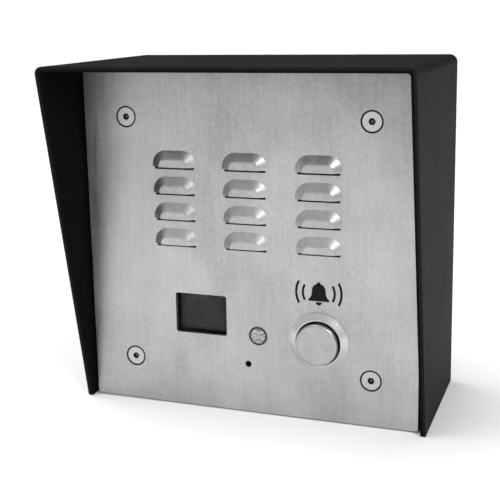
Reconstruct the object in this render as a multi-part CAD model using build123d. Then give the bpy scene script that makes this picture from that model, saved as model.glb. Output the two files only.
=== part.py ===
from build123d import *
import os
from math import radians, tan

# Door intercom panel: a square louvred stainless faceplate with a loudspeaker, a microphone, a camera behind
# a dark window, a status lamp and a call button, screwed into a black steel surface box with a rain hood.
#
# Frame, in millimetres: +Z is up, +Y points into the wall, and the visitor stands on the -Y side. The origin
# is on the wall face, level with the faceplate's centre. Most places are given as (x, z) and a depth, which
# is measured from the faceplate's front plane towards the wall.

# ---- Driving dimensions: the box and its hood
BOX_DEPTH = 54.6  # wall face to the faceplate's front plane
SHEET = 1.9  # 14 gauge steel, for the box and the faceplate
SHELL_WIDTH = 133.35
SHELL_TOP = 66.4
SHELL_BOTTOM = -63.8
HOOD_REACH_TOP = 28.7  # how far the hood stands out in front of the faceplate
HOOD_REACH_BOTTOM = 2.6
BEND_RADIUS = 3.0  # outside radius of the bent corners
PAN_FLANGE = 12.0
FRAME_SHEET = 1.5
FRAME_LEG = 10.0
FRAME_LAP = 9.0  # how far the mounting frame reaches in behind the faceplate's edge
FRAME_TAB = 13.5  # side of the corner tabs that carry the nuts
WALL_HOLE_X, WALL_HOLE_Z = 23.0, 41.65  # two-gang wall box pattern, 46.0 by 83.3
WALL_HOLE_R = 2.5
ENTRY_Z, ENTRY_R = 16.0, 11.1  # half-inch conduit entry
CABLE_R = 5.0
WEEP_X, WEEP_R, WEEP_DEPTH = 45.0, 1.6, 22.0

# ---- Driving dimensions: the faceplate
PLATE = 127.0
GASKET = 1.6
SCREW_XZ = 46.4
SCREW_HEAD_R, SCREW_R = 3.5, 1.72
SPOT_FACE_R, SPOT_FACE_DEPTH = 3.95, 1.0
CONE_SLOPE = tan(radians(41))  # an 82 degree countersink
LOUVRE_COLUMNS = (-27.5, 0.0, 27.5)
LOUVRE_ROWS = 4
LOUVRE_LOWEST = -0.9
LOUVRE_PITCH = 9.7
LOUVRE_WIDTH, LOUVRE_HEIGHT, LOUVRE_PROUD = 18.4, 6.6, 1.9
LOUVRE_CORNER, LOUVRE_RAMP, LOUVRE_BLEND = 5.8, 30.0, 1.2
LOUVRE_FOOT, LOUVRE_INNER_RAMP = 0.3, 40.0  # how deep in the sheet the ramp ends; the hollow's ramp
LOUVRE_FACE, LOUVRE_SIDE, LOUVRE_SILL = 0.6, 0.9, 0.4  # metal left round the hollow
SLOT_WIDTH, SLOT_DROP = 15.6, 0.85  # the gap that the lip leaves below it
MIC_X, MIC_Z, MIC_HOLE_R = 0.0, -44.9, 1.2
LED_X, LED_Z, LED_HOLE_R = 4.0, -33.7, 3.55

# ---- Driving dimensions: the loudspeaker
SPEAKER_Z = 16.9
SPEAKER_FRAME = 57.0
SPEAKER_STUD = 24.0
SCREEN = 0.4
CONE_R = 22.5
COIL_R = 6.8

# ---- Driving dimensions: the camera
WINDOW_X, WINDOW_Z, WINDOW_W, WINDOW_H = -18.5, -27.2, 20.4, 15.3
WINDOW_LAP, WINDOW_T, TAPE_T = 2.0, 2.0, 0.8
CAMERA_X, CAMERA_Z = -20.5, -28.0
PIVOT_DEPTH = 14.5
LENS_DEPTH = 6.5  # the lens barrel's front face

# ---- Driving dimensions: the call button
BUTTON_X, BUTTON_Z = 27.3, -33.8
BEZEL_R, BARREL_R, BORE_R = 11.1, 9.4, 8.2
CAP_R, CAP_PROUD, CAP_TOP = 7.85, 4.2, 1.7
STEM_R = 2.5
BUTTON_TRAVEL = 1.8
BRIDGE_REAR = 13.3  # the moving contact's rear face, with the button out

# ---- Driving dimensions: the circuit board
BOARD_W, BOARD_H, BOARD_T, BOARD_DEPTH = 104.0, 62.0, 1.6, 33.0
STANDOFF_X, STANDOFF_Z = 47.0, 25.0
STUD_R = 1.5  # M3
TRIMMER_X, TRIMMER_Z = (-4.0, 8.0), 24.5
PLUG, PLUG_TALL = 6.0, 5.5
PLUGS = {  # x, z and the depth at which the leads enter
    "speaker": (-36.0, SPEAKER_Z, BOARD_DEPTH - PLUG_TALL),
    "camera": (-13.3, -25.0, 30.0),
    "mic": (0.0, -25.0, 30.0),
    "lamp": (9.0, -25.0, 30.0),
    "button": (BUTTON_X, -25.0, 30.0),
}
WIRE_R, LEAD_GAP = 0.55, 0.75

PLATE_REAR = SHEET
FRAME_FRONT = SHEET + GASKET
BACK_INNER = BOX_DEPTH - SHEET
INNER_X = SHELL_WIDTH / 2 - SHEET
INNER_TOP = SHELL_TOP - SHEET
CORNERS = [(sx, sz) for sx in (-1, 1) for sz in (-1, 1)]
SCREWS = [(sx * SCREW_XZ, sz * SCREW_XZ) for sx, sz in CORNERS]
SPEAKER_STUDS = [(sx * SPEAKER_STUD, SPEAKER_Z + sz * SPEAKER_STUD) for sx, sz in CORNERS]
STANDOFFS = [(sx * STANDOFF_X, sz * STANDOFF_Z) for sx, sz in CORNERS]
BRACKET_STUDS = [(-40.3, CAMERA_Z), (-12.0, -43.0)]


# ---- Shapes
def y_at(depth):
    """The y of a point that lies this depth behind the faceplate's front plane."""
    return depth - BOX_DEPTH


def disc(x, z, near, far, radius):
    """A round bar along Y, from one depth to another."""
    return Solid.make_cylinder(radius, far - near, Plane(origin=(x, y_at(near), z), z_dir=(0, 1, 0)))


def ring(x, z, near, far, outer, inner):
    return disc(x, z, near, far, outer) - disc(x, z, near, far, inner)


def block(x0, x1, z0, z1, near, far):
    lowest = Pos(x0, y_at(near), z0)
    return lowest * Box(x1 - x0, far - near, z1 - z0, align=(Align.MIN,) * 3)


def slab(x, z, width, height, near, far, corner=0.0):
    """A plate parallel to the faceplate, centred on (x, z), with rounded corners."""
    plate = block(x - width / 2, x + width / 2, z - height / 2, z + height / 2, near, far)
    return fillet(plate.edges().filter_by(Axis.Y), corner) if corner else plate


def turned(x, z, outline):
    """A solid of revolution about the Y axis through (x, z), from (radius, depth) points."""
    points = [(x + radius, y_at(depth), z) for radius, depth in outline]
    return revolve(make_face(Polyline(*points, close=True)), Axis((x, 0, z), (0, 1, 0)), 360)


def hexagon(x, z, near, far, across_flats, bore=0.0):
    plane = Plane(origin=(x, y_at(near), z), x_dir=(1, 0, 0), z_dir=(0, 1, 0))
    bar = extrude(plane * RegularPolygon(across_flats / 2, 6, major_radius=False), far - near)
    return bar - disc(x, z, near, far, bore) if bore else bar


def side_outline(points, x0, x1):
    """A solid from x0 to x1 whose outline is (y, z) points."""
    face = make_face(Polyline(*[(x0, y, z) for y, z in points], close=True))
    return extrude(face, x1 - x0, dir=(1, 0, 0))


def corner_radii(points, share=0.45):
    """The arc that each corner of a route has room for."""
    vectors = [Vector(*p) for p in points]
    radii = []
    for before, here, after in zip(vectors, vectors[1:], vectors[2:]):
        turn = (here - before).get_angle(after - here)
        shorter = min((here - before).length, (after - here).length)
        radii.append(share * shorter / tan(radians(turn) / 2))
    return radii


def wire(route, radius):
    """A round wire along a route of (x, depth, z) points: straight runs joined by tangent arcs."""
    points = [(x, y_at(depth), z) for x, depth, z in route]
    path = FilletPolyline(*points, radius=corner_radii(points))
    return sweep(Plane(origin=path @ 0, z_dir=path % 0) * Circle(radius), path)


def save(name, *solids):
    shape = solids[0] if len(solids) == 1 else Compound(children=list(solids))
    export_step(shape, f"parts/{name}.step")


# ---- The surface box
def hood_shell():
    """One strip bent into an inverted U: both sides and the top, with the front edges cut to a slope."""
    width, reach = SHELL_WIDTH / 2, HOOD_REACH_TOP
    outside = block(-width, width, SHELL_BOTTOM, SHELL_TOP, -reach, BOX_DEPTH)
    tops = outside.edges().filter_by(Axis.Y).sort_by(Axis.Z)[-2:]
    outside = fillet(tops, BEND_RADIUS)
    inside = block(-INNER_X, INNER_X, SHELL_BOTTOM - 5, INNER_TOP, -reach - 1, BOX_DEPTH + 1)
    tops = inside.edges().filter_by(Axis.Y).sort_by(Axis.Z)[-2:]
    inside = fillet(tops, BEND_RADIUS - SHEET)
    side = [
        (0, SHELL_BOTTOM),
        (0, SHELL_TOP),
        (y_at(-HOOD_REACH_TOP), SHELL_TOP),
        (y_at(-HOOD_REACH_BOTTOM), SHELL_BOTTOM),
    ]
    return (outside - inside) & side_outline(side, -width, width)


def back_pan():
    """The back wall, with the low flanges by which it is welded into the shell."""
    front = BOX_DEPTH - PAN_FLANGE
    tray = block(-INNER_X, INNER_X, SHELL_BOTTOM, INNER_TOP, front, BOX_DEPTH)
    tray = fillet(tray.edges().filter_by(Axis.Y).sort_by(Axis.Z)[-2:], BEND_RADIUS - SHEET + 0.4)
    inner_x = INNER_X - SHEET
    pan = tray - block(-inner_x, inner_x, SHELL_BOTTOM + SHEET, INNER_TOP - SHEET, front, BACK_INNER)
    pan -= disc(0, ENTRY_Z, BACK_INNER, BOX_DEPTH, ENTRY_R)
    for sx, sz in CORNERS:
        pan -= disc(sx * WALL_HOLE_X, sz * WALL_HOLE_Z, BACK_INNER, BOX_DEPTH, WALL_HOLE_R)
    return pan


def box_floor():
    """The bottom plate, with two drain holes."""
    floor = block(-INNER_X, INNER_X, SHELL_BOTTOM, SHELL_BOTTOM + SHEET, FRAME_FRONT, BOX_DEPTH - PAN_FLANGE)
    for sx in (-1, 1):
        weep = Plane(origin=(sx * WEEP_X, y_at(WEEP_DEPTH), SHELL_BOTTOM), z_dir=(0, 0, 1))
        floor -= Solid.make_cylinder(WEEP_R, SHEET, weep)
    return floor


def rim(outer, near, far, hole_radius):
    """A frame lying behind the faceplate's edge, with a tab and a hole at each corner for its screw."""
    opening = PLATE - 2 * FRAME_LAP
    frame = slab(0, 0, outer, outer, near, far) - slab(0, 0, opening, opening, near, far)
    edge = opening / 2
    for sx, sz in CORNERS:
        spans = [sorted((sign * edge, sign * (edge - FRAME_TAB))) for sign in (sx, sz)]
        tab = block(*spans[0], *spans[1], near, far)
        inner_corner = tab.edges().filter_by(Axis.Y).sort_by_distance(Pos(0, y_at(near), 0).position)[0]
        frame += fillet(inner_corner, 4.0)
    for x, z in SCREWS:
        frame -= disc(x, z, near, far, hole_radius)
    return frame


def mounting_frame():
    """An angle frame welded inside the box, which the faceplate is screwed to."""
    far = FRAME_FRONT + FRAME_SHEET
    floor = SHELL_BOTTOM + SHEET
    outside = block(-INNER_X, INNER_X, floor, INNER_TOP, FRAME_FRONT, FRAME_FRONT + FRAME_LEG)
    outside = fillet(outside.edges().filter_by(Axis.Y).sort_by(Axis.Z)[-2:], BEND_RADIUS - SHEET + 0.4)
    wall = FRAME_SHEET
    inner_x = INNER_X - wall
    hollow = block(-inner_x, inner_x, floor + wall, INNER_TOP - wall, far, FRAME_FRONT + FRAME_LEG)
    opening = PLATE - 2 * FRAME_LAP
    frame = outside - hollow - slab(0, 0, opening, opening, FRAME_FRONT, far)
    return frame + rim(PLATE - 4.0, FRAME_FRONT, far, 3.2)


def clinch_nuts():
    near, seat, far = FRAME_FRONT + 0.05, FRAME_FRONT + FRAME_SHEET, FRAME_FRONT + FRAME_SHEET + 3.6
    bore = SCREW_R + 0.08
    outline = [(bore, near), (3.15, near), (3.15, seat), (4.4, seat), (4.4, far), (bore, far)]
    return [turned(x, z, outline) for x, z in SCREWS]


def cable_bushing():
    """A stepped rubber bushing, pushed into the entry from inside and flush with the wall face."""
    flange, flange_r, neck_r = BACK_INNER - 2.0, 14.0, ENTRY_R - 0.05
    return turned(0, ENTRY_Z, [(CABLE_R, flange), (flange_r, flange), (flange_r, BACK_INNER),
                               (neck_r, BACK_INNER), (neck_r, BOX_DEPTH), (CABLE_R, BOX_DEPTH)])


# ---- The faceplate
def ramped_edge(origin, along, reach, rise, foot, ramp):
    """A face through the edge of a pressed form: a flat top, blended into a straight ramp."""
    def point(out, depth):
        return origin + along * out + Vector(0, y_at(depth), 0)

    ramp_top = reach - (rise + foot) / tan(radians(ramp))
    start, end = point(0, -rise), point(reach, foot)
    edge = FilletPolyline(start, point(ramp_top, -rise), end, radius=LOUVRE_BLEND)
    return make_face(edge + Polyline(end, point(reach, SHEET), point(0, SHEET), start))


def louvre(width, height, corner, rise, foot, ramp):
    """One pressed form, on the origin: rounded upper corners, and a flat, open lower edge."""
    half, side = width / 2 - corner, height - corner
    edge = (corner, rise, foot, ramp)
    up, sideways = Vector(0, 0, 1), Vector(1, 0, 0)
    form = block(-half, half, 0, side, -rise, SHEET)
    form += extrude(ramped_edge(Vector(-half, 0, side), up, *edge), 2 * half, dir=(1, 0, 0))
    for sign in (-1, 1):
        corner_at = Vector(sign * half, 0, side)
        form += revolve(ramped_edge(corner_at, sideways * sign, *edge), Axis(corner_at, (0, -sign, 0)), 90)
        form += extrude(ramped_edge(Vector(sign * half, 0, 0), sideways * sign, *edge), side, dir=(0, 0, 1))
    return form


def louvres():
    """The pressed hoods, and the hollows behind them, which open downwards through a slot in the sheet."""
    hood = louvre(LOUVRE_WIDTH, LOUVRE_HEIGHT, LOUVRE_CORNER, LOUVRE_PROUD, LOUVRE_FOOT, LOUVRE_RAMP)
    hollow = louvre(LOUVRE_WIDTH - 2 * LOUVRE_SIDE, LOUVRE_HEIGHT - LOUVRE_SIDE, LOUVRE_CORNER - LOUVRE_SIDE,
                    LOUVRE_PROUD - LOUVRE_FACE, SHEET - LOUVRE_SILL, LOUVRE_INNER_RAMP)
    hollow += block(-SLOT_WIDTH / 2, SLOT_WIDTH / 2, -SLOT_DROP, 0, 0, SHEET)
    heights = [LOUVRE_LOWEST + row * LOUVRE_PITCH for row in range(LOUVRE_ROWS)]
    places = [Pos(x, 0, z) for x in LOUVRE_COLUMNS for z in heights]
    return [place * hood for place in places], [place * hollow for place in places]


def faceplate():
    hoods, hollows = louvres()
    plate = slab(0, 0, PLATE, PLATE, 0, SHEET, 0.8) + hoods
    plate -= hollows
    plate -= slab(WINDOW_X, WINDOW_Z, WINDOW_W, WINDOW_H, 0, SHEET, 1.0)
    plate -= disc(MIC_X, MIC_Z, 0, SHEET, MIC_HOLE_R)
    plate -= disc(LED_X, LED_Z, 0, SHEET, LED_HOLE_R)
    plate -= disc(BUTTON_X, BUTTON_Z, 0, SHEET, BARREL_R + 0.1)
    seat_r = SCREW_HEAD_R - 0.05
    sink = [(0, 0), (SPOT_FACE_R, 0), (SPOT_FACE_R, SPOT_FACE_DEPTH), (seat_r, SPOT_FACE_DEPTH),
            (seat_r - CONE_SLOPE * (SHEET - SPOT_FACE_DEPTH), SHEET), (0, SHEET)]
    for x, z in SCREWS:
        plate -= turned(x, z, sink)
    return plate


def faceplate_screws():
    """Flat-head security screws: a hexagon socket with a pin standing in it."""
    top, land, tip = 0.12, SPOT_FACE_DEPTH - 0.2, 11.0
    neck = land + (SCREW_HEAD_R - SCREW_R) / CONE_SLOPE
    outline = [(0, top), (SCREW_HEAD_R, top), (SCREW_HEAD_R, land), (SCREW_R, neck),
               (SCREW_R, tip - 0.8), (SCREW_R - 0.6, tip), (0, tip)]
    screws = []
    for x, z in SCREWS:
        socket = hexagon(x, z, top, 1.6, 2.3) - disc(x, z, 0.55, 1.6, 0.5)
        screws.append(turned(x, z, outline) - socket)
    return screws


def faceplate_gasket():
    return rim(PLATE - 1.0, PLATE_REAR, FRAME_FRONT, 2.8)


def weld_studs():
    """Studs welded to the faceplate's rear for the speaker, the board standoffs and the camera bracket."""
    studs = [disc(x, z, PLATE_REAR, 9.0, STUD_R) for x, z in SPEAKER_STUDS]
    studs += [disc(x, z, PLATE_REAR, 8.0, STUD_R) for x, z in STANDOFFS]
    shoulder = PLATE_REAR + TAPE_T + WINDOW_T
    outline = [(0, PLATE_REAR), (2.6, PLATE_REAR), (2.6, shoulder), (STUD_R, shoulder), (STUD_R, 10), (0, 10)]
    return studs + [turned(x, z, outline) for x, z in BRACKET_STUDS]


def louvre_screen():
    screen = slab(0, SPEAKER_Z, 78, 60, PLATE_REAR, PLATE_REAR + SCREEN, 2.0)
    for x, z in SPEAKER_STUDS:
        screen -= disc(x, z, PLATE_REAR, PLATE_REAR + SCREEN, STUD_R + 0.3)
    return screen


# ---- The loudspeaker
def speaker_depths():
    """The depths of the gasket, the flange and the rear ring of the basket."""
    gasket = PLATE_REAR + SCREEN
    flange = gasket + 1.5
    return gasket, flange, flange + 12.2


def speaker_gasket():
    near, far, _ = speaker_depths()
    pad = slab(0, SPEAKER_Z, SPEAKER_FRAME, SPEAKER_FRAME, near, far, 3.0)
    pad -= disc(0, SPEAKER_Z, near, far, 25.5)
    for x, z in SPEAKER_STUDS:
        pad -= disc(x, z, near, far, STUD_R + 0.3)
    return pad


def speaker_basket():
    _, near, rear = speaker_depths()
    t = 0.8
    flange = slab(0, SPEAKER_Z, SPEAKER_FRAME, SPEAKER_FRAME, near, near + t, 3.0)
    flange -= disc(0, SPEAKER_Z, near, near + t, 25.5)
    for x, z in SPEAKER_STUDS:
        flange -= disc(x, z, near, near + t, STUD_R + 0.1)
    neck = COIL_R + 0.6
    wall = [(25.5, near), (26.5, near + t), (26.5, near + 2), (15.0, rear - 1.5), (15.0, rear),
            (neck, rear), (neck, rear - t), (14.2, rear - t), (14.2, rear - 1.7), (25.5, near + 2)]
    cone = turned(0, SPEAKER_Z, wall)
    middle = (near + rear) / 2
    for x0, x1, z0, z1 in ((-30, 30, -6, 6), (-6, 6, -30, 30)):
        cone -= block(x0, x1, SPEAKER_Z + z0, SPEAKER_Z + z1, middle - 3, middle + 3)
    tab = block(-19.5, -14.5, SPEAKER_Z - 3, SPEAKER_Z + 3, rear - t, rear)
    return flange + cone + tab


def speaker_top_plate():
    _, _, near = speaker_depths()
    return ring(0, SPEAKER_Z, near, near + 2.0, 15.0, COIL_R + 0.4)


def speaker_magnet():
    _, _, front = speaker_depths()
    return ring(0, SPEAKER_Z, front + 2.0, front + 8.0, 16.0, 9.5)


def speaker_yoke():
    _, _, front = speaker_depths()
    plate, far = front + 8.0, front + 10.2
    pole, edge = COIL_R - 0.45, 15.0
    outline = [(0, front), (pole, front), (pole, plate), (edge, plate), (edge, far), (0, far)]
    return turned(0, SPEAKER_Z, outline)


def stud_nuts():
    """The M3 nuts that hold the speaker and the camera's bracket on their studs."""
    _, flange, _ = speaker_depths()
    bracket = PLATE_REAR + TAPE_T + WINDOW_T + 1.0
    seats = [(x, z, flange + 0.8) for x, z in SPEAKER_STUDS] + [(x, z, bracket) for x, z in BRACKET_STUDS]
    return [hexagon(x, z, near, near + 2.4, 5.5, STUD_R + 0.05) for x, z, near in seats]


def speaker_surround():
    """The half-roll of foam between the cone and the basket."""
    _, flange, _ = speaker_depths()
    near = flange + 1.2
    outer, inner = 25.5, CONE_R
    middle = (outer + inner) / 2
    return turned(0, SPEAKER_Z, [
        (inner, near), (inner, near + 0.4), (middle - 0.5, near + 1.3), (middle + 0.5, near + 1.3),
        (outer, near + 0.4), (outer, near), (middle + 0.5, near + 0.9), (middle - 0.5, near + 0.9)])


def speaker_cone():
    _, flange, rear = speaker_depths()
    near, far, t, neck = flange + 1.2, rear - 3.4, 0.45, COIL_R + 0.15
    return turned(0, SPEAKER_Z, [(CONE_R, near), (CONE_R, near + t), (neck, far + t), (neck, far)])


def dust_cap():
    _, _, rear = speaker_depths()
    far, rise, t = rear - 3.4, 2.0, 0.35
    radius = (COIL_R**2 + rise**2) / (2 * rise)
    centre = Pos(0, y_at(far - rise + radius), SPEAKER_Z)
    dome = centre * Sphere(radius) - centre * Sphere(radius - t)
    return dome & disc(0, SPEAKER_Z, far - rise - 1, far, COIL_R)


def voice_coil():
    _, _, rear = speaker_depths()
    return ring(0, SPEAKER_Z, rear - 3.4, rear + 3.0, COIL_R + 0.15, COIL_R - 0.2)


# ---- The camera
def window_tape():
    near, far = PLATE_REAR, PLATE_REAR + TAPE_T
    lap = 2 * WINDOW_LAP
    tape = slab(WINDOW_X, WINDOW_Z, WINDOW_W + lap, WINDOW_H + lap, near, far, 1.5)
    return tape - slab(WINDOW_X, WINDOW_Z, WINDOW_W + 0.4, WINDOW_H + 0.4, near, far, 1.2)


def camera_window():
    near = PLATE_REAR + TAPE_T
    lap = 2 * WINDOW_LAP
    return slab(WINDOW_X, WINDOW_Z, WINDOW_W + lap, WINDOW_H + lap, near, near + WINDOW_T, 1.5)


def camera_bracket():
    """A sheet frame that clamps the window and carries the cradle's pivots on two ears."""
    near = PLATE_REAR + TAPE_T + WINDOW_T
    far = near + 1.0
    base = slab(CAMERA_X, CAMERA_Z, 33.2, 23.0, near, far)
    base += block(-43.6, CAMERA_X, CAMERA_Z - 4, CAMERA_Z + 4, near, far)
    base += block(-16.0, -8.0, -47.0, CAMERA_Z, near, far)
    base -= slab(CAMERA_X, CAMERA_Z, 19.0, 18.0, near, far, 1.5)
    for x, z in BRACKET_STUDS:
        base -= disc(x, z, near, far, STUD_R + 0.1)
    for side in (-1, 1):
        x0, x1 = sorted((CAMERA_X + side * 15.6, CAMERA_X + side * 16.6))
        ear = block(x0, x1, CAMERA_Z - 6, CAMERA_Z + 6, near, PIVOT_DEPTH + 4)
        hole = Plane(origin=(x0, y_at(PIVOT_DEPTH), CAMERA_Z), z_dir=(1, 0, 0))
        base += ear - Solid.make_cylinder(1.3, 1.0, hole)
    return base


def pivot_screws():
    """Shoulder screws through the bracket's ears, on which the cradle tilts."""
    screws = []
    for side in (-1, 1):
        head = Plane(origin=(CAMERA_X + side * 16.6, y_at(PIVOT_DEPTH), CAMERA_Z), z_dir=(side, 0, 0))
        shank = Plane(origin=(CAMERA_X + side * 13.6, y_at(PIVOT_DEPTH), CAMERA_Z), z_dir=(side, 0, 0))
        screws.append(Solid.make_cylinder(2.4, 1.3, head) + Solid.make_cylinder(1.25, 3.0, shank))
    return screws


def camera_cradle():
    """The tilting carrier: a web behind the camera's board, with an ear to each pivot."""
    near = PIVOT_DEPTH + 7.6
    web = slab(CAMERA_X, CAMERA_Z, 30.4, 20.0, near, near + 1.0)
    web -= slab(CAMERA_X, CAMERA_Z, 16.0, 12.0, near, near + 1.0, 2.0)
    for side in (-1, 1):
        x0, x1 = sorted((CAMERA_X + side * 14.2, CAMERA_X + side * 15.2))
        ear = block(x0, x1, CAMERA_Z - 4.5, CAMERA_Z + 4.5, PIVOT_DEPTH - 4, near + 1.0)
        hole = Plane(origin=(x0, y_at(PIVOT_DEPTH), CAMERA_Z), z_dir=(1, 0, 0))
        web += ear - Solid.make_cylinder(1.3, 1.0, hole)
    return web


def camera_board():
    near = PIVOT_DEPTH + 6.0
    return slab(CAMERA_X, CAMERA_Z, 26.0, 24.0, near, near + 1.6, 1.0)


def lens_holder():
    far = PIVOT_DEPTH + 6.0
    holder = slab(CAMERA_X, CAMERA_Z, 17.0, 17.0, far - 3.5, far, 1.0)
    holder += disc(CAMERA_X, CAMERA_Z, 11.0, far - 3.5, 8.0)
    return holder - disc(CAMERA_X, CAMERA_Z, 11.0, far, 6.05)


def lens_barrel():
    """A threaded lens tube with a wide head, a stepped mouth and a clear bore behind the front glass."""
    return turned(CAMERA_X, CAMERA_Z, [
        (3.5, LENS_DEPTH + 0.5), (3.9, LENS_DEPTH), (6.4, LENS_DEPTH), (7.0, LENS_DEPTH + 0.6),
        (7.0, LENS_DEPTH + 3.2), (6.0, LENS_DEPTH + 3.2), (6.0, LENS_DEPTH + 9.5), (3.0, LENS_DEPTH + 9.5),
        (3.0, LENS_DEPTH + 3.0), (3.5, LENS_DEPTH + 3.0)])


def lens_glass():
    """The bulging front element."""
    radius, rise, seat = 3.4, 1.3, LENS_DEPTH + 1.6
    sphere = (radius**2 + rise**2) / (2 * rise)
    dome = Pos(CAMERA_X, y_at(seat - rise + sphere), CAMERA_Z) * Sphere(sphere)
    return dome & disc(CAMERA_X, CAMERA_Z, seat - rise - 1, seat + 1.2, radius)


def image_sensor():
    far = PIVOT_DEPTH + 6.0
    return slab(CAMERA_X, CAMERA_Z, 7.6, 7.6, far - 1.4, far)


def camera_cable():
    """The cable from the camera's board, round below the main board's edge to its plug."""
    x, z, start = CAMERA_X - 4, CAMERA_Z - 1, PIVOT_DEPTH + 7.6
    plug_x, plug_z, plug_depth = PLUGS["camera"]
    out = [(x, start, z), (x, start + 4, z), (x + 3, plug_depth, z - 5)]
    return wire(out + [(plug_x, plug_depth, plug_z - 8), (plug_x, plug_depth, plug_z - PLUG / 2)], 1.0)


# ---- The lamp and the microphone
def led_holder():
    """A black ring that shows round the lamp, with a flange and sleeve behind the faceplate."""
    outer, inner, flange = LED_HOLE_R - 0.05, 2.95, 4.8
    return turned(LED_X, LED_Z, [(inner, -0.3), (outer - 0.15, -0.3), (outer, -0.15), (outer, PLATE_REAR),
                                 (flange, PLATE_REAR), (flange, PLATE_REAR + 1.2), (outer, PLATE_REAR + 1.2),
                                 (outer, 8.0), (inner, 8.0)])


def status_led():
    """The clear lamp body, domed in front, and its two leads."""
    radius, rise, front = 2.9, 0.5, -0.55
    sphere = (radius**2 + rise**2) / (2 * rise)
    dome = Pos(LED_X, y_at(front + sphere), LED_Z) * Sphere(sphere)
    body = dome & disc(LED_X, LED_Z, front, 1.5, radius)
    body += disc(LED_X, LED_Z, 1.5, 7.0, radius)
    leads = [slab(LED_X + side * 1.27, LED_Z, 0.5, 0.5, 7.0, 13.0) for side in (-1, 1)]
    return [body, *leads]


def mic_boot():
    return turned(MIC_X, MIC_Z, [(MIC_HOLE_R, PLATE_REAR), (6.2, PLATE_REAR), (6.2, 9.0), (4.85, 9.0),
                                 (4.85, 3.2), (MIC_HOLE_R, 3.2)])


def mic_capsule():
    can = disc(MIC_X, MIC_Z, 3.3, 7.8, 4.8)
    pins = [disc(MIC_X + s * 1.27, MIC_Z, 7.8, 10.0, 0.3) for s in (-1, 1)]
    return [can, *pins]


# ---- The call button
def front_rings(shape, count):
    """The circular edges nearest the visitor."""
    return shape.edges().filter_by(GeomType.CIRCLE).sort_by(Axis.Y)[:count]


def button_bezel():
    """The turned body: a sloped bezel in front, a threaded barrel, and a shoulder that guides the stem."""
    guide, crest = STEM_R + 0.05, -1.75
    body = turned(BUTTON_X, BUTTON_Z, [
        (BORE_R, crest), (8.8, crest), (BEZEL_R, -0.4), (BEZEL_R, 0), (10.25, 0), (10.25, -0.45),
        (BARREL_R, -0.45), (BARREL_R, 17.0), (BORE_R, 17.0), (BORE_R, 10.5), (guide, 10.5), (guide, 8.0),
        (BORE_R, 8.0)])
    return fillet(front_rings(body, 2), 0.25)


def button_cap():
    """The moving cap: a flat face with a rounded edge, a skirt with a seal groove, and the stem."""
    front, under, tail = -CAP_PROUD, -CAP_PROUD + CAP_TOP, BRIDGE_REAR - 0.5
    cap = turned(BUTTON_X, BUTTON_Z, [
        (0, front), (CAP_R, front), (CAP_R, 2.5), (7.1, 2.5), (7.1, 3.6), (CAP_R, 3.6), (CAP_R, 5.5),
        (6.6, 5.5), (6.6, under), (STEM_R, under), (STEM_R, 10.55), (2.0, 10.55), (2.0, 11.35),
        (STEM_R, 11.35), (STEM_R, tail), (0, tail)])
    return fillet(front_rings(cap, 1), 0.9)


def cap_oring():
    tube = 0.5
    circle = Plane(origin=(BUTTON_X + 7.65, y_at(3.05), BUTTON_Z), z_dir=(0, 0, 1)) * Circle(tube)
    return revolve(circle, Axis((BUTTON_X, 0, BUTTON_Z), (0, 1, 0)), 360)


def plunger_clip():
    clip = ring(BUTTON_X, BUTTON_Z, 10.6, 11.3, 4.2, 2.05)
    return clip - block(BUTTON_X - 1.2, BUTTON_X + 1.2, BUTTON_Z - 5, BUTTON_Z, 10.6, 11.3)


def contact_bridge():
    return block(BUTTON_X - 5, BUTTON_X + 5, BUTTON_Z - 1.2, BUTTON_Z + 1.2, BRIDGE_REAR - 0.5, BRIDGE_REAR)


def button_spring():
    """A coil spring between the cap and the shoulder."""
    radius, wire_r = 4.4, 0.35
    near, far = -CAP_PROUD + CAP_TOP + wire_r + 0.05, 8.0 - wire_r - 0.05
    start = (BUTTON_X, y_at(near), BUTTON_Z)
    path = Helix((far - near) / 6, far - near, radius, center=start, direction=(0, 1, 0))
    return sweep(Plane(origin=path @ 0, z_dir=path % 0) * Circle(wire_r), path, is_frenet=True)


def button_gasket():
    return ring(BUTTON_X, BUTTON_Z, -0.45, 0, 10.2, BARREL_R + 0.05)


def button_washer():
    """A toothed lock washer."""
    washer = ring(BUTTON_X, BUTTON_Z, PLATE_REAR, PLATE_REAR + 0.7, 11.6, BARREL_R + 0.1)
    for notch in PolarLocations(11.6, 16):
        place = notch.position
        washer -= disc(BUTTON_X + place.X, BUTTON_Z + place.Y, PLATE_REAR, PLATE_REAR + 0.7, 0.7)
    return washer


def button_nut():
    return hexagon(BUTTON_X, BUTTON_Z, PLATE_REAR + 0.7, PLATE_REAR + 3.7, 22.0, BARREL_R + 0.05)


def contact_block():
    """The insulating rear of the switch. Its front is hollow, for the bridge to travel in."""
    block_r = BORE_R - 0.05
    body = turned(BUTTON_X, BUTTON_Z, [(block_r - 1.2, 14.5), (block_r, 14.5), (block_r, 17.0), (9.0, 17.0),
                                       (9.0, 23.0), (0, 23.0), (0, 17.0), (block_r - 1.2, 17.0)])
    for side in (-1, 1):
        body -= disc(BUTTON_X + side * 4, BUTTON_Z, 17.0, 23.0, 0.85)
    return body


def button_terminals():
    """Two fixed contacts that pass through the block and end as solder pins."""
    face = BRIDGE_REAR + BUTTON_TRAVEL + 0.02
    outline = [(0, face), (1.0, face), (1.0, 17.0), (0.8, 17.0), (0.8, 25.0), (0, 25.0)]
    return [turned(BUTTON_X + side * 4, BUTTON_Z, outline) for side in (-1, 1)]


# ---- The circuit board and what stands on it
def board_standoffs():
    bars = []
    for x, z in STANDOFFS:
        bore = STUD_R + 0.03
        bar = hexagon(x, z, PLATE_REAR, BOARD_DEPTH, 5.5)
        bars.append(bar - disc(x, z, PLATE_REAR, 8.5, bore) - disc(x, z, 25.5, BOARD_DEPTH, bore))
    return bars


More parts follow.
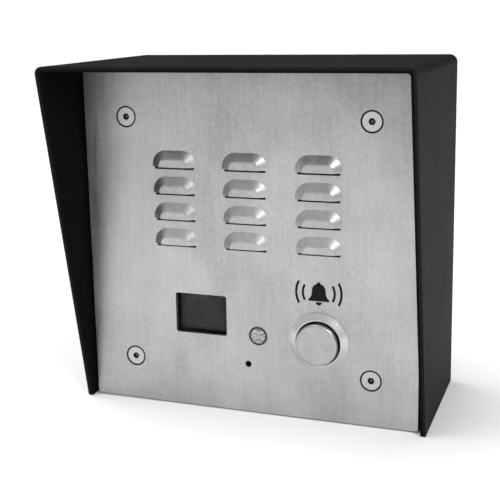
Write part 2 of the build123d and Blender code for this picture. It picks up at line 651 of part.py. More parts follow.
def board_screws():
    rear = BOARD_DEPTH + BOARD_T
    outline = [(0, 27.0), (STUD_R, 27.0), (STUD_R, rear), (2.8, rear), (2.8, rear + 1.4),
               (2.1, rear + 2.0), (0, rear + 2.0)]
    screws = []
    for x, z in STANDOFFS:
        screw = turned(x, z, outline)
        for width, height in ((3.2, 0.7), (0.7, 3.2)):
            screw -= slab(x, z, width, height, rear + 1.0, rear + 2.0)
        screws.append(screw)
    return screws


def main_board():
    board = slab(0, 0, BOARD_W, BOARD_H, BOARD_DEPTH, BOARD_DEPTH + BOARD_T, 2.0)
    for x, z in STANDOFFS:
        board -= disc(x, z, BOARD_DEPTH, BOARD_DEPTH + BOARD_T, STUD_R + 0.15)
    return board


TERMINALS, TERMINAL_PITCH = 8, 5.08
TERMINAL_Z, TERMINAL_H = -25.5, 10.0


def terminal_places():
    first = -TERMINAL_PITCH * (TERMINALS - 1) / 2
    return [first + TERMINAL_PITCH * i for i in range(TERMINALS)]


def terminal_block():
    rear = BOARD_DEPTH + BOARD_T
    length = TERMINALS * TERMINAL_PITCH
    body = slab(0, TERMINAL_Z, length, 8.0, rear, rear + TERMINAL_H)
    for x in terminal_places():
        body -= disc(x, TERMINAL_Z, rear + 5.5, rear + TERMINAL_H, 1.9)
        body -= slab(x, TERMINAL_Z - 2.25, 3.6, 3.5, rear + 1.5, rear + 5.0)
    return body


def terminal_screws():
    rear = BOARD_DEPTH + BOARD_T
    screws = []
    for x in terminal_places():
        screw = disc(x, TERMINAL_Z, rear + 5.6, rear + TERMINAL_H - 0.8, 1.8)
        screws.append(screw - slab(x, TERMINAL_Z, 3.8, 0.6, rear + TERMINAL_H - 1.5, rear + TERMINAL_H - 0.8))
    return screws


def door_relay():
    rear = BOARD_DEPTH + BOARD_T
    case = slab(34.0, -8.0, 19.0, 15.5, rear, rear + 15.0)
    return fillet(case.faces().sort_by(Axis.Y)[-1].edges(), 0.8)


def line_transformer():
    """A laminated core with a wound bobbin through it."""
    rear = BOARD_DEPTH + BOARD_T
    x, z = -36.0, -6.0
    core = slab(x, z, 18.0, 15.0, rear + 2.0, rear + 14.0) - slab(x, z, 12.0, 15.0, rear + 6.5, rear + 9.5)
    bobbin = slab(x, z, 11.0, 11.0, rear, rear + 2.0, 1.0)
    coil = slab(x, z, 11.8, 18.0, rear + 6.6, rear + 9.4, 1.0)
    return [core, bobbin, coil]


# x, z, radius and height; then x, z, width, height and thickness
CAPACITORS = ((-40, 16, 4.0, 12.0), (-29.5, 16, 4.0, 12.0), (-20.5, 22, 3.15, 9.0), (22, 22, 4.0, 10.0))
CHIPS = ((33, 17, 10.0, 10.0, 1.6), (20, 8, 6.0, 5.0, 1.4), (-16, 8, 8.5, 6.0, 1.6), (0, -16.5, 9, 4.5, 1.5))


def capacitors():
    rear = BOARD_DEPTH + BOARD_T
    cans = []
    for x, z, radius, height in CAPACITORS:
        top = rear + height
        crimp = [(radius, rear + 1.4), (radius - 0.25, rear + 1.8), (radius, rear + 2.2)]
        rim_edge = [(radius, top - 0.5), (radius - 0.5, top), (0, top)]
        cans.append(turned(x, z, [(0, rear), (radius, rear), *crimp, *rim_edge]))
    return cans


def chips():
    rear = BOARD_DEPTH + BOARD_T
    return [slab(x, z, width, height, rear, rear + t) for x, z, width, height, t in CHIPS]


TRIMMER_CASE, TRIMMER_TALL, ROTOR_R = 9.5, 4.8, 3.0


def trimmer_cases():
    rear = BOARD_DEPTH + BOARD_T
    cases = []
    for x in TRIMMER_X:
        case = slab(x, TRIMMER_Z, TRIMMER_CASE, TRIMMER_CASE, rear, rear + TRIMMER_TALL, 0.6)
        cases.append(case - disc(x, TRIMMER_Z, rear + 1.5, rear + TRIMMER_TALL, ROTOR_R + 0.08))
    return cases


def trimmer_rotor(x):
    rear = BOARD_DEPTH + BOARD_T
    rotor = disc(x, TRIMMER_Z, rear + 1.5, rear + TRIMMER_TALL + 0.4, ROTOR_R)
    return rotor - slab(x, TRIMMER_Z, 0.8, 4.6, rear + TRIMMER_TALL - 0.8, rear + TRIMMER_TALL + 0.4)


def wire_harness():
    """Paired leads from the speaker, button, lamp and microphone, and the plugs on the board's front."""
    parts = [slab(x, z, PLUG, PLUG, BOARD_DEPTH - PLUG_TALL, BOARD_DEPTH) for x, z, _ in PLUGS.values()]
    _, _, basket_rear = speaker_depths()
    plug_x, plug_z, plug_front = PLUGS["speaker"]
    for side in (-1, 1):
        start, end = plug_z + side * 1.2, plug_z + side * LEAD_GAP
        parts.append(wire([(-17.5, basket_rear, start), (-17.5, basket_rear + 2.5, start),
                           (plug_x, plug_front - 2.5, end), (plug_x, plug_front, end)], WIRE_R))
    pins = (("button", BUTTON_X, BUTTON_Z, 4.0, 25, 30), ("lamp", LED_X, LED_Z, 1.27, 13, 20),
            ("mic", MIC_X, MIC_Z, 1.27, 10, 30))
    for name, x, z, pin_gap, pin_end, bend in pins:
        plug_x, plug_z, depth = PLUGS[name]
        under = plug_z - PLUG / 2
        for side in (-1, 1):
            pin, end = x + side * pin_gap, plug_x + side * LEAD_GAP
            way = [(pin, pin_end, z), (pin, bend, z), (end, depth, under - 3), (end, depth, under)]
            parts.append(wire(way, WIRE_R))
    return parts


def main():
    os.makedirs("parts", exist_ok=True)
    for make in (
        hood_shell, back_pan, box_floor, mounting_frame, cable_bushing,
        faceplate, faceplate_gasket, louvre_screen, led_holder, mic_boot,
        speaker_gasket, speaker_basket, speaker_top_plate, speaker_magnet, speaker_yoke,
        speaker_surround, speaker_cone, dust_cap, voice_coil,
        window_tape, camera_window, camera_bracket, camera_cradle, camera_board,
        lens_holder, lens_barrel, lens_glass, image_sensor, camera_cable,
        button_bezel, button_cap, cap_oring, plunger_clip, contact_bridge, button_spring,
        button_gasket, button_washer, button_nut, contact_block,
        main_board, terminal_block, door_relay,
    ):
        save(make.__name__, make())
    for make in (
        clinch_nuts, faceplate_screws, weld_studs, stud_nuts, pivot_screws,
        status_led, mic_capsule, button_terminals, board_standoffs, board_screws,
        terminal_screws, line_transformer, capacitors, chips, trimmer_cases, wire_harness,
    ):
        save(make.__name__, *make())
    for name, x in zip(("volume_trimmer", "mic_trimmer"), TRIMMER_X):
        save(name, trimmer_rotor(x))


main()
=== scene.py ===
"""The looks of the door intercom panel: materials, the printed bell, light, floor and camera."""

import math

import bpy
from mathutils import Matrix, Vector
from mathutils.geometry import interpolate_bezier


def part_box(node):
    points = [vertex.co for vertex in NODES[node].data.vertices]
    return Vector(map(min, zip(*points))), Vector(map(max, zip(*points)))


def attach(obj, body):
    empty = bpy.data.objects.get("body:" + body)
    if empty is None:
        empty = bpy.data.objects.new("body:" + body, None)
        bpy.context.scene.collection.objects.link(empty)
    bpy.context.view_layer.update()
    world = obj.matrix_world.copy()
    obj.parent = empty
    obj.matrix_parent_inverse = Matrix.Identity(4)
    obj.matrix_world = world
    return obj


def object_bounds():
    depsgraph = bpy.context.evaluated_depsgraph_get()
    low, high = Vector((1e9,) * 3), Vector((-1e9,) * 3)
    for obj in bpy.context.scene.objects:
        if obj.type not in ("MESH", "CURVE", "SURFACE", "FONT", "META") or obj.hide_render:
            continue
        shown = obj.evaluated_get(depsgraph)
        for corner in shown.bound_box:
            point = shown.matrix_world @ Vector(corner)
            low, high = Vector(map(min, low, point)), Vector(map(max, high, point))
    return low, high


MM = 0.001

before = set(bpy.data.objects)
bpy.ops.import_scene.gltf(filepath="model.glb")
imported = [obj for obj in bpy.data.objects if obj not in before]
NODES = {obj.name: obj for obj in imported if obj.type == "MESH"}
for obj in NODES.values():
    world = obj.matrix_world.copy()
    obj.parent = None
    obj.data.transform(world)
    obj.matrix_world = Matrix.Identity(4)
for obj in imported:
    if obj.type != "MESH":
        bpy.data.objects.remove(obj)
CAD_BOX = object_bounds()


def middle(node):
    low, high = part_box(node)
    return (low + high) / 2


PLATE_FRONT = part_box("button_gasket")[1].y
PLATE_CENTRE = Vector((0, PLATE_FRONT, middle("faceplate").z))
BUTTON = middle("button_bezel")
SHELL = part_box("hood_shell")
SHEET = 1.9 * MM
SCREW_HEAD, SCREW_GAP = 3.5 * MM, 3.95 * MM  # radii of the heads, and of the recesses that they sit in
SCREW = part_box("faceplate_screws")[1] - Vector((1, 0, 1)) * SCREW_HEAD
SCREW_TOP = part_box("faceplate_screws")[0].y
FELT_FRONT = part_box("mic_capsule")[0].y
PLATE_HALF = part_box("faceplate")[1].x
FLOOR_Z = CAD_BOX[0].z


# ---- Node helpers
def socket(node, key, value):
    """Sets an input from a number, a colour or another node's output."""
    target = node.inputs[key]
    if isinstance(value, bpy.types.NodeSocket):
        node.id_data.links.new(value, target)
    else:
        target.default_value = value


def add(tree, kind, inputs=None, **settings):
    """A new node of this kind, with its settings and its inputs."""
    node = tree.nodes.new(kind)
    for name, value in settings.items():
        setattr(node, name, value)
    for key, value in (inputs or {}).items():
        socket(node, key, value)
    return node


def grey(value, alpha=1.0):
    return (value, value, value, alpha)


def material(name):
    """A new material's node tree and its Principled shader."""
    made = bpy.data.materials.new(name)
    made.use_nodes = True
    return made, made.node_tree, made.node_tree.nodes["Principled BSDF"]


def place(tree, stretch):
    """Object coordinates in metres, scaled along each axis."""
    coords = add(tree, "ShaderNodeTexCoord")
    scaled = add(tree, "ShaderNodeMapping", {"Vector": coords.outputs["Object"], "Scale": stretch})
    return scaled.outputs["Vector"]


def noise(tree, stretch, detail=2.0, roughness=0.5):
    """Noise from 0 to 1 whose cells are one over the stretch in size, in metres."""
    inputs = {"Vector": place(tree, stretch), "Scale": 1.0, "Detail": detail, "Roughness": roughness}
    return add(tree, "ShaderNodeTexNoise", inputs).outputs["Fac"]


def spread(tree, value, low, high, start=0.3, end=0.7):
    """Maps a value from start..end onto low..high, clamped."""
    inputs = {"Value": value, "From Min": start, "From Max": end, "To Min": low, "To Max": high}
    return add(tree, "ShaderNodeMapRange", inputs).outputs["Result"]


def mixed(tree, amount, low, high):
    """A colour between two colours."""
    node = add(tree, "ShaderNodeMix", data_type="RGBA")
    socket(node, "Factor", amount)
    colours = [port for port in node.inputs if port.type == "RGBA"]
    for port, colour in zip(colours, (low, high)):
        if isinstance(colour, bpy.types.NodeSocket):
            tree.links.new(colour, port)
        else:
            port.default_value = colour
    return next(port for port in node.outputs if port.type == "RGBA")


def product(tree, first, second):
    return add(tree, "ShaderNodeMath", {0: first, 1: second}, operation="MULTIPLY").outputs[0]


def total(tree, first, second):
    return add(tree, "ShaderNodeMath", {0: first, 1: second}, operation="ADD").outputs[0]


def bumpy(tree, height, distance, normal=None):
    """A normal bent by a height from 0 to 1 that stands for this distance, in metres."""
    inputs = {"Height": height, "Distance": distance, "Strength": 1.0}
    if normal is not None:
        inputs["Normal"] = normal
    return add(tree, "ShaderNodeBump", inputs).outputs["Normal"]


def soft_edges(tree, radius):
    return add(tree, "ShaderNodeBevel", {"Radius": radius}, samples=6).outputs["Normal"]


def object_axes(tree):
    """The X, Y and Z of the shaded point, in metres."""
    coords = add(tree, "ShaderNodeTexCoord").outputs["Object"]
    return add(tree, "ShaderNodeSeparateXYZ", {0: coords}).outputs


def absolute(tree, value):
    return add(tree, "ShaderNodeMath", {0: value}, operation="ABSOLUTE").outputs[0]


def screw_distance(tree):
    """How far a point is from the nearest faceplate screw's axis, in metres."""
    axes = object_axes(tree)
    offsets = []
    for axis, place_at in (("X", SCREW.x), ("Z", SCREW.z)):
        inputs = {0: absolute(tree, axes[axis]), 1: place_at}
        offsets.append(add(tree, "ShaderNodeMath", inputs, operation="SUBTRACT").outputs[0])
    flat = add(tree, "ShaderNodeCombineXYZ", {0: offsets[0], 1: offsets[1]}).outputs[0]
    return add(tree, "ShaderNodeVectorMath", {0: flat}, operation="LENGTH").outputs["Value"]


def steel_grey(tree, tone):
    """A neutral colour from a tone that varies."""
    return add(tree, "ShaderNodeCombineColor", {"Red": tone, "Green": tone, "Blue": tone}).outputs[0]


# ---- Materials
def brushed_plate():
    """Stainless sheet with a soft upright grain, weathered into clouds, with painted shade of the hood that
    darkens it towards its top and more so at its top right corner, and painted shade in the recesses round
    its screws."""
    made, tree, shader = material("brushed_plate")
    fine = noise(tree, (2400, 2400, 60), 3.0, 0.6)
    coarse = noise(tree, (600, 600, 45), 2.0)
    speckle = noise(tree, (950, 950, 620), 3.0, 0.65)
    clouds = noise(tree, (26, 26, 17), 3.0, 0.5)
    smudges = noise(tree, (75, 75, 60), 4.0, 0.6)
    grain = total(tree, product(tree, fine, 0.55), product(tree, coarse, 0.45))
    tone = total(tree, spread(tree, grain, -0.03, 0.03, 0.35, 0.65), spread(tree, clouds, 0.375, 0.495))
    tone = total(tree, tone, spread(tree, smudges, -0.03, 0.03))
    tone = total(tree, tone, spread(tree, speckle, -0.035, 0.035))
    axes = object_axes(tree)
    # Painted shade of the hood: darker towards the top, and more so at the top right corner.
    height = spread(tree, axes["Z"], 0, 1, 0, PLATE_HALF)
    tone = total(tree, tone, product(tree, height, -0.09))
    corner = product(tree, height, spread(tree, axes["X"], 0, 1, 0, PLATE_HALF))
    tone = total(tree, tone, product(tree, corner, -0.09))
    # Painted shade: the plate is made near black in the recesses round the screw heads.
    screw_recess_shade = spread(tree, screw_distance(tree), 0.03, 1, SCREW_GAP, SCREW_GAP + 0.12 * MM)
    tone = product(tree, tone, screw_recess_shade)
    socket(shader, "Base Color", steel_grey(tree, tone))
    socket(shader, "Metallic", 1.0)
    scuffed = total(tree, grain, product(tree, smudges, 0.3))
    socket(shader, "Roughness", spread(tree, scuffed, 0.3, 0.46, 0.5, 0.85))
    socket(shader, "Anisotropic", 0.35)
    across = add(tree, "ShaderNodeCombineXYZ", {"X": 1.0}).outputs[0]
    socket(shader, "Tangent", across)
    socket(shader, "Normal", bumpy(tree, grain, 0.008 * MM, soft_edges(tree, 0.2 * MM)))
    return made


def screw_steel():
    """Stainless screw heads with painted shade in their sockets and round their rims."""
    made, tree, shader = material("screw_steel")
    marks = noise(tree, (1600, 1600, 1600), 3.0)
    # Painted shade: the head's outer rim and its socket are darkened to near black.
    rim_shade = spread(tree, screw_distance(tree), 1, 0.04, SCREW_HEAD - 0.2 * MM, SCREW_HEAD - 0.02 * MM)
    socket_shade = spread(tree, object_axes(tree)["Y"], 1, 0.04, SCREW_TOP + 0.1 * MM, SCREW_TOP + 0.5 * MM)
    tone = product(tree, product(tree, spread(tree, marks, 0.42, 0.52), rim_shade), socket_shade)
    socket(shader, "Base Color", steel_grey(tree, tone))
    socket(shader, "Metallic", 1.0)
    socket(shader, "Roughness", spread(tree, marks, 0.26, 0.42))
    socket(shader, "Normal", bumpy(tree, marks, 0.006 * MM))
    return made


def spun_steel(name, tone, roughness, anisotropy):
    """Turned stainless: rings round the button's axis, finely grooved."""
    made, tree, shader = material(name)
    coords = add(tree, "ShaderNodeTexCoord").outputs["Object"]
    centre = add(tree, "ShaderNodeVectorMath", {0: coords, 1: (BUTTON.x, 0, BUTTON.z)}, operation="SUBTRACT")
    flat = add(tree, "ShaderNodeVectorMath", {0: centre.outputs[0], 1: (1, 0, 1)}, operation="MULTIPLY")
    radius = add(tree, "ShaderNodeVectorMath", {0: flat.outputs[0]}, operation="LENGTH").outputs["Value"]
    inputs = {"W": radius, "Scale": 5200.0, "Detail": 3.0}
    grooves = add(tree, "ShaderNodeTexNoise", inputs, noise_dimensions="1D").outputs["Fac"]
    wear = noise(tree, (220, 220, 220), 3.0)
    shade = total(tree, spread(tree, grooves, -0.06, 0.06), spread(tree, wear, tone - 0.03, tone + 0.03))
    socket(shader, "Base Color", steel_grey(tree, shade))
    socket(shader, "Metallic", 1.0)
    socket(shader, "Roughness", spread(tree, grooves, roughness - 0.06, roughness + 0.08))
    socket(shader, "Anisotropic", anisotropy)
    socket(shader, "Tangent", add(tree, "ShaderNodeTangent", direction_type="RADIAL", axis="Y").outputs[0])
    socket(shader, "Normal", bumpy(tree, grooves, 0.01 * MM))
    return made


def plain_metal(name, colour, roughness, metallic=1.0, edge=0.1):
    """Plated or machined metal with faint tool marks and handling wear."""
    made, tree, shader = material(name)
    marks = noise(tree, (1400, 1400, 1400), 3.0)
    wear = noise(tree, (180, 180, 180), 3.0)
    dark = tuple(channel * 0.8 for channel in colour) + (1,)
    light = tuple(min(channel * 1.12, 1) for channel in colour) + (1,)
    socket(shader, "Base Color", mixed(tree, spread(tree, wear, 0, 1), dark, light))
    socket(shader, "Metallic", metallic)
    socket(shader, "Roughness", spread(tree, marks, roughness - 0.08, roughness + 0.08))
    socket(shader, "Normal", bumpy(tree, marks, 0.006 * MM, soft_edges(tree, edge * MM)))
    return made


def under_hood(tree):
    """1 inside the box and under the hood, 0 on the outer faces: where the powder coat gets painted shade
    and a matter finish.
    """
    axes = object_axes(tree)
    shaded_and_sheltered = []
    for axis, outside in (("X", SHELL[1].x), ("Z", SHELL[1].z)):
        middle_of_sheet = outside - SHEET / 2
        reach = absolute(tree, axes[axis])
        shaded_and_sheltered.append(spread(tree, reach, 1, 0, middle_of_sheet - 0.2 * MM, middle_of_sheet + 0.2 * MM))
    return product(tree, *shaded_and_sheltered)


def powder_coat():
    """Black powder coat with a fine orange peel: chalky on the outer faces, and matt and far darker inside
    the hood and box, where the darker colour is painted shade.
    """
    made, tree, shader = material("powder_coat")
    peel = noise(tree, (1300, 1300, 1300), 2.0, 0.6)
    dust = noise(tree, (35, 35, 35), 4.0)
    # Painted shade: this mask darkens the inside of the hood and box, and also makes it more matt.
    shaded_and_sheltered = under_hood(tree)
    chalk = mixed(tree, spread(tree, dust, 0, 1), grey(0.006), grey(0.01))
    # Painted shade: the inside takes a near-black colour instead of the outer chalky one.
    socket(shader, "Base Color", mixed(tree, shaded_and_sheltered, chalk, grey(0.0025)))
    rough = spread(tree, total(tree, peel, dust), 0.6, 0.72, 0.7, 1.3)
    socket(shader, "Roughness", total(tree, rough, product(tree, shaded_and_sheltered, 0.22)))
    socket(shader, "Specular IOR Level", 0.07)
    socket(shader, "Normal", bumpy(tree, peel, 0.025 * MM, soft_edges(tree, 0.45 * MM)))
    return made


def moulded(name, colour, roughness, texture=900, depth=0.02, specular=0.5):
    """Moulded plastic or rubber with a fine surface texture."""
    made, tree, shader = material(name)
    skin = noise(tree, (texture, texture, texture), 3.0)
    tint = noise(tree, (90, 90, 90), 2.0)
    dark = tuple(channel * 0.85 for channel in colour) + (1,)
    light = tuple(min(channel * 1.15, 1) for channel in colour) + (1,)
    socket(shader, "Base Color", mixed(tree, spread(tree, tint, 0, 1), dark, light))
    socket(shader, "Roughness", spread(tree, skin, roughness - 0.06, roughness + 0.06))
    socket(shader, "Specular IOR Level", specular)
    socket(shader, "Normal", bumpy(tree, skin, depth * MM))
    return made


def felt_faced_can():
    """The microphone's can: bright metal round the side, and black felt over the end that faces the hole."""
    made, tree, shader = material("felt_faced_can")
    fibres = noise(tree, (2600, 2600, 2600), 3.0, 0.7)
    depth = object_axes(tree)["Y"]
    felt = spread(tree, depth, 1, 0, FELT_FRONT + 0.2 * MM, FELT_FRONT + 0.25 * MM)
    cloth = mixed(tree, fibres, grey(0.002), grey(0.008))
    socket(shader, "Base Color", mixed(tree, felt, grey(0.6), cloth))
    socket(shader, "Metallic", spread(tree, felt, 1, 0, 0, 1))
    socket(shader, "Roughness", spread(tree, felt, 0.35, 0.95, 0, 1))
    socket(shader, "Specular IOR Level", 0.1)
    socket(shader, "Normal", bumpy(tree, fibres, 0.02 * MM))
    return made


def woven(name, colour, threads):
    """Cloth with a plain weave of this many threads per metre, upright and across."""
    made, tree, shader = material(name)
    coords = place(tree, (threads, threads, threads))
    waves = []
    for axis in ("X", "Z"):
        wave = add(tree, "ShaderNodeTexWave", {"Vector": coords, "Scale": 0.5}, bands_direction=axis)
        waves.append(wave.outputs["Fac"])
    weave = product(tree, *waves)
    dark = tuple(channel * 0.5 for channel in colour) + (1,)
    socket(shader, "Base Color", mixed(tree, weave, dark, (*colour, 1)))
    socket(shader, "Roughness", 0.9)
    socket(shader, "Normal", bumpy(tree, weave, 0.05 * MM))
    return made


def smoked_glass():
    """The camera's dark window, clear enough to show the lens behind it."""
    made, tree, shader = material("smoked_glass")
    film = noise(tree, (120, 120, 120), 3.0)
    socket(shader, "Base Color", (0.36, 0.37, 0.39, 1))
    socket(shader, "Roughness", spread(tree, film, 0.015, 0.06))
    socket(shader, "Transmission Weight", 1.0)
    socket(shader, "IOR", 1.34)
    return made


def coated_lens():
    """The camera's front element, with the violet of an anti-reflection coating painted into its colour as a
    sheen that grows where it is seen edge-on.
    """
    made, tree, shader = material("coated_lens")
    # Painted sheen: the colour turns violet towards grazing view.
    facing = add(tree, "ShaderNodeLayerWeight", {"Blend": 0.35}).outputs["Facing"]
    socket(shader, "Base Color", mixed(tree, facing, (0.008, 0.006, 0.012, 1), (0.05, 0.03, 0.08, 1)))
    socket(shader, "Roughness", 0.03)
    socket(shader, "Coat Weight", 1.0)
    socket(shader, "Coat Tint", (0.75, 0.7, 1.0, 1))
    return made


def lamp_lens():
    """Pale translucent plastic with a pebbled face that scatters the lamp's light, and painted shade in the
    creases between the pebbles.
    """
    made, tree, shader = material("lamp_lens")
    coords = place(tree, (1, 1, 1))
    pebbles = add(tree, "ShaderNodeTexVoronoi", {"Vector": coords, "Scale": 1250.0}, feature="SMOOTH_F1")
    height = pebbles.outputs["Distance"]
    # Painted shade: the colour darkens towards the creases between the pebbles.
    tint = mixed(tree, spread(tree, height, 0, 1, 0.1, 0.7), (0.66, 0.69, 0.68, 1), (0.12, 0.13, 0.13, 1))
    socket(shader, "Base Color", tint)
    socket(shader, "Roughness", 0.16)
    socket(shader, "Transmission Weight", 0.25)
    socket(shader, "IOR", 1.5)
    socket(shader, "Normal", bumpy(tree, height, -0.25 * MM))
    return made


def circuit_board():
    """Green solder mask over faint copper tracks."""
    made, tree, shader = material("circuit_board")
    coords = place(tree, (260, 260, 260))
    tracks = add(tree, "ShaderNodeTexBrick", {"Vector": coords, "Scale": 1.0, "Mortar Size": 0.04})
    copper = tracks.outputs["Fac"]
    socket(shader, "Base Color", mixed(tree, copper, (0.012, 0.09, 0.035, 1), (0.05, 0.2, 0.07, 1)))
    socket(shader, "Roughness", 0.32)
    socket(shader, "Coat Weight", 0.4)
    socket(shader, "Normal", bumpy(tree, copper, 0.03 * MM))
    return made


def floor_paint():
    made, tree, shader = material("floor_paint")
    mottle = noise(tree, (9, 9, 9), 3.0)
    socket(shader, "Base Color", mixed(tree, spread(tree, mottle, 0, 1), grey(0.86), grey(0.88)))
    socket(shader, "Roughness", 0.85)
    return made


BLACK = (0.012, 0.012, 0.013)
FINISHES = {
    powder_coat(): ["hood_shell", "back_pan", "box_floor", "mounting_frame"],
    brushed_plate(): ["faceplate"],
    spun_steel("spun_cap", 0.38, 0.24, 0.75): ["button_cap"],
    spun_steel("turned_bezel", 0.5, 0.19, 0.5): ["button_bezel"],
    screw_steel(): ["faceplate_screws"],
    plain_metal("zinc_plate", (0.6, 0.62, 0.64), 0.35): [
        "clinch_nuts", "weld_studs", "stud_nuts", "speaker_basket", "speaker_top_plate", "speaker_yoke",
        "pivot_screws", "plunger_clip", "button_washer",
        "board_screws", "terminal_screws", "board_standoffs", "button_nut",
    ],
    felt_faced_can(): ["mic_capsule"],
    plain_metal("spring_wire", (0.5, 0.5, 0.5), 0.25): ["button_spring"],
    plain_metal("contact_brass", (0.8, 0.6, 0.28), 0.3): ["contact_bridge", "button_terminals"],
    plain_metal("enamelled_copper", (0.6, 0.24, 0.1), 0.3): ["voice_coil"],
    plain_metal("laminated_steel", (0.24, 0.24, 0.25), 0.5): ["line_transformer"],
    plain_metal("black_anodised", (0.07, 0.07, 0.072), 0.38, 0.6): ["lens_barrel"],
    plain_metal("sensor_die", (0.2, 0.22, 0.3), 0.15, 0.4): ["image_sensor"],
    moulded("ferrite", (0.03, 0.03, 0.032), 0.7, 700, 0.05): ["speaker_magnet"],
    moulded("black_rubber", BLACK, 0.75, 1100, 0.02, 0.35): [
        "cable_bushing", "faceplate_gasket", "speaker_gasket", "speaker_surround", "window_tape", "mic_boot",
        "button_gasket", "cap_oring",
    ],
    moulded("black_plastic", BLACK, 0.42): [
        "lens_holder", "led_holder", "contact_block", "door_relay", "chips",
    ],
    moulded("black_bracket_coat", (0.006, 0.006, 0.006), 0.6, 1200, 0.01, 0.2): [
        "camera_bracket", "camera_cradle",
    ],
    moulded("terminal_green", (0.03, 0.2, 0.06), 0.45): ["terminal_block"],
    moulded("can_sleeve", (0.02, 0.03, 0.09), 0.25): ["capacitors"],
    moulded("trimmer_blue", (0.01, 0.05, 0.3), 0.3): ["trimmer_cases"],
    moulded("rotor_white", (0.75, 0.75, 0.72), 0.4): ["volume_trimmer", "mic_trimmer"],
    moulded("wire_sleeve", (0.25, 0.02, 0.02), 0.4): ["wire_harness"],
    moulded("cable_sleeve", (0.02, 0.02, 0.02), 0.45): ["camera_cable"],
    woven("screen_cloth", (0.02, 0.02, 0.022), 3000): ["louvre_screen"],
    woven("cone_paper", (0.05, 0.048, 0.045), 2200): ["speaker_cone", "dust_cap"],
    smoked_glass(): ["camera_window"],
    coated_lens(): ["lens_glass"],
    lamp_lens(): ["status_led"],
    circuit_board(): ["main_board", "camera_board"],
}


def dress(node, finish):
    """Gives a CAD node its material."""
    thing = NODES[node]
    thing.data.materials.clear()
    thing.data.materials.append(finish)


for finish, names in FINISHES.items():
    for node in names:
        dress(node, finish)


# ---- The printed bell
INK_THICKNESS = 0.05 * MM
BELL_CENTRE = BUTTON + Vector((0, 0, 18.1 * MM))
STROKE_HALF_WIDTH, STROKE_HALF_ANGLE, STROKE_CENTRE_Z = 0.42, 29, 0.3


def plate_point(x, z, proud=0.0):
    """A point on the faceplate's front, x and z in millimetres from the bell's centre."""
    return Vector((BELL_CENTRE.x + x * MM, PLATE_FRONT - proud, BELL_CENTRE.z + z * MM))


def printed(name, outlines, ink):
    """Flat closed shapes with the thickness of a coat of ink, lying on the faceplate."""
    verts, faces = [], []
    for outline in outlines:
        count, first = len(outline), len(verts)
        for proud in (0.0, INK_THICKNESS):
            verts += [plate_point(x, z, proud) for x, z in outline]
        faces.append([first + i for i in range(count)])
        faces.append([first + count + i for i in reversed(range(count))])
        for i in range(count):
            j = (i + 1) % count
            faces.append([first + i, first + count + i, first + count + j, first + j])
    mesh = bpy.data.meshes.new(name)
    mesh.from_pydata(verts, [], faces)
    mesh.materials.append(ink)
    thing = bpy.data.objects.new(name, mesh)
    bpy.context.scene.collection.objects.link(thing)
    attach(thing, "panel")
    return thing


def arc(centre_z, radius, start, end, steps=24):
    """Points on a circle about (0, centre_z), with angles in degrees."""
    angles = [math.radians(start + (end - start) * i / steps) for i in range(steps + 1)]
    return [(radius * math.cos(a), centre_z + radius * math.sin(a)) for a in angles]


def sound_wave(radius, side):
    """A bent stroke with square ends, on the left or the right of the bell."""
    facing = 0 if side > 0 else 180
    start, end = facing - STROKE_HALF_ANGLE, facing + STROKE_HALF_ANGLE
    outer = arc(STROKE_CENTRE_Z, radius + STROKE_HALF_WIDTH, start, end)
    inner = arc(STROKE_CENTRE_Z, radius - STROKE_HALF_WIDTH, end, start)
    return outer + inner


def bell_body():
    """The bell's outline: a dome that flares into a lip, made as one side and its mirror image."""
    dome = interpolate_bezier((0, 3.7), (1.7, 3.7), (2.55, 2.5), (2.6, 0.6), 12)
    flare = interpolate_bezier((2.6, 0.6), (2.65, -0.9), (3.1, -1.5), (3.9, -2.2), 10)
    right = [(p[0], p[1]) for p in [*dome, *flare[1:]]] + [(3.9, -2.75)]
    left = [(-x, z) for x, z in reversed(right[1:])]
    return right + left


ink = moulded("black_ink", (0.003, 0.003, 0.003), 0.6, 1500, 0.003, 0.15)
clapper = arc(-3.1, 1.15, 0, -180)
knob = arc(3.75, 0.6, 0, 360, 20)[:-1]
waves = [sound_wave(radius, side) for radius in (5.9, 8.4) for side in (-1, 1)]
printed("printed_bell", [bell_body(), clapper, *waves], ink)
printed("printed_bell_knob", [knob], ink)


# ---- Floor, light and camera
FLOOR_SIZE, FLOOR_GAP = 6, 0.2 * MM
SUN_TOWARDS, SUN_STRENGTH, SUN_SPREAD = (0.25, 0.05, -1), 2.4, 45
KEY_PLACE, KEY_AIM, KEY_SIZE, KEY_POWER = (0.75, -0.85, 0.75), (0, -0.05, 0), 0.36, 6.8
LIGHT_IN_FRONT, LIGHT_BEHIND, BACKDROP = 0.85, 0.2, 1.1
VIEW_AZIMUTH, VIEW_ELEVATION, VIEW_ROLL = 20.1, 11.14, -1.1
LENS, SENSOR, SHIFT = 71.7, 36.0, -0.09


def stage_floor():
    bpy.ops.mesh.primitive_plane_add(size=FLOOR_SIZE, location=(0, 0, FLOOR_Z - FLOOR_GAP))
    floor = bpy.context.object
    floor.name = "floor"
    floor.data.materials.append(floor_paint())


def softbox(name, place_at, aim, side, power):
    """A square lamp of this side, in metres, turned towards a point."""
    lamp = bpy.data.lights.new(name, "AREA")
    lamp.shape, lamp.size, lamp.size_y = "RECTANGLE", side, side
    lamp.energy = power
    holder = bpy.data.objects.new(name, lamp)
    holder.location = place_at
    holder.rotation_euler = (Vector(aim) - Vector(place_at)).to_track_quat("-Z", "Y").to_euler()
    bpy.context.scene.collection.objects.link(holder)


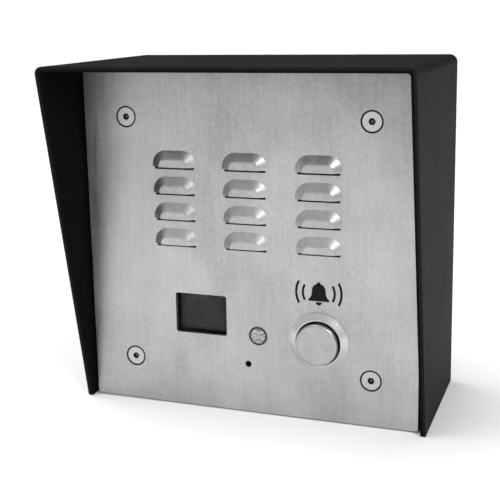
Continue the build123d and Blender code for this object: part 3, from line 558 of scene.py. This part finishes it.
def sunlight(towards, strength, spread_degrees):
    """Even light from far off, which gives the whole floor one tone."""
    lamp = bpy.data.lights.new("sky_panel", "SUN")
    lamp.energy, lamp.angle = strength, math.radians(spread_degrees)
    holder = bpy.data.objects.new("sky_panel", lamp)
    holder.rotation_euler = Vector(towards).to_track_quat("-Z", "Y").to_euler()
    bpy.context.scene.collection.objects.link(holder)


def studio_world():
    """Light from in front, less of it from behind, and a white backdrop past the edge of the floor."""
    world = bpy.data.worlds.new("studio")
    world.use_nodes = True
    tree = world.node_tree
    background = tree.nodes["Background"]
    seen = add(tree, "ShaderNodeLightPath").outputs["Is Camera Ray"]
    way = add(tree, "ShaderNodeTexCoord").outputs["Generated"]
    depth = add(tree, "ShaderNodeSeparateXYZ", {0: way}).outputs["Y"]
    lit = spread(tree, depth, LIGHT_IN_FRONT, LIGHT_BEHIND, -0.25, 0.25)
    socket(background, "Color", (1, 1, 1, 1))
    socket(background, "Strength", spread(tree, seen, lit, BACKDROP, 0, 1))
    bpy.context.scene.world = world


def camera():
    azimuth, elevation = math.radians(VIEW_AZIMUTH), math.radians(VIEW_ELEVATION)
    level = math.cos(elevation)
    back = Vector((math.sin(azimuth) * level, -math.cos(azimuth) * level, math.sin(elevation)))
    eye = bpy.data.cameras.new("camera")
    eye.lens, eye.sensor_width, eye.shift_y = LENS, SENSOR, SHIFT
    eye.clip_start = 0.01
    holder = bpy.data.objects.new("camera", eye)
    holder.location = PLATE_CENTRE + Vector((122.6, -330.05, 84.65)) * MM
    upright = (-back).to_track_quat("-Z", "Y").to_matrix()
    holder.rotation_euler = (upright @ upright.Rotation(math.radians(VIEW_ROLL), 3, "Z")).to_euler()
    bpy.context.scene.collection.objects.link(holder)
    bpy.context.scene.camera = holder


stage_floor()
studio_world()
sunlight(SUN_TOWARDS, SUN_STRENGTH, SUN_SPREAD)
softbox("key", KEY_PLACE, KEY_AIM, KEY_SIZE, KEY_POWER)
camera()
bpy.context.scene.view_settings.view_transform = "Standard"
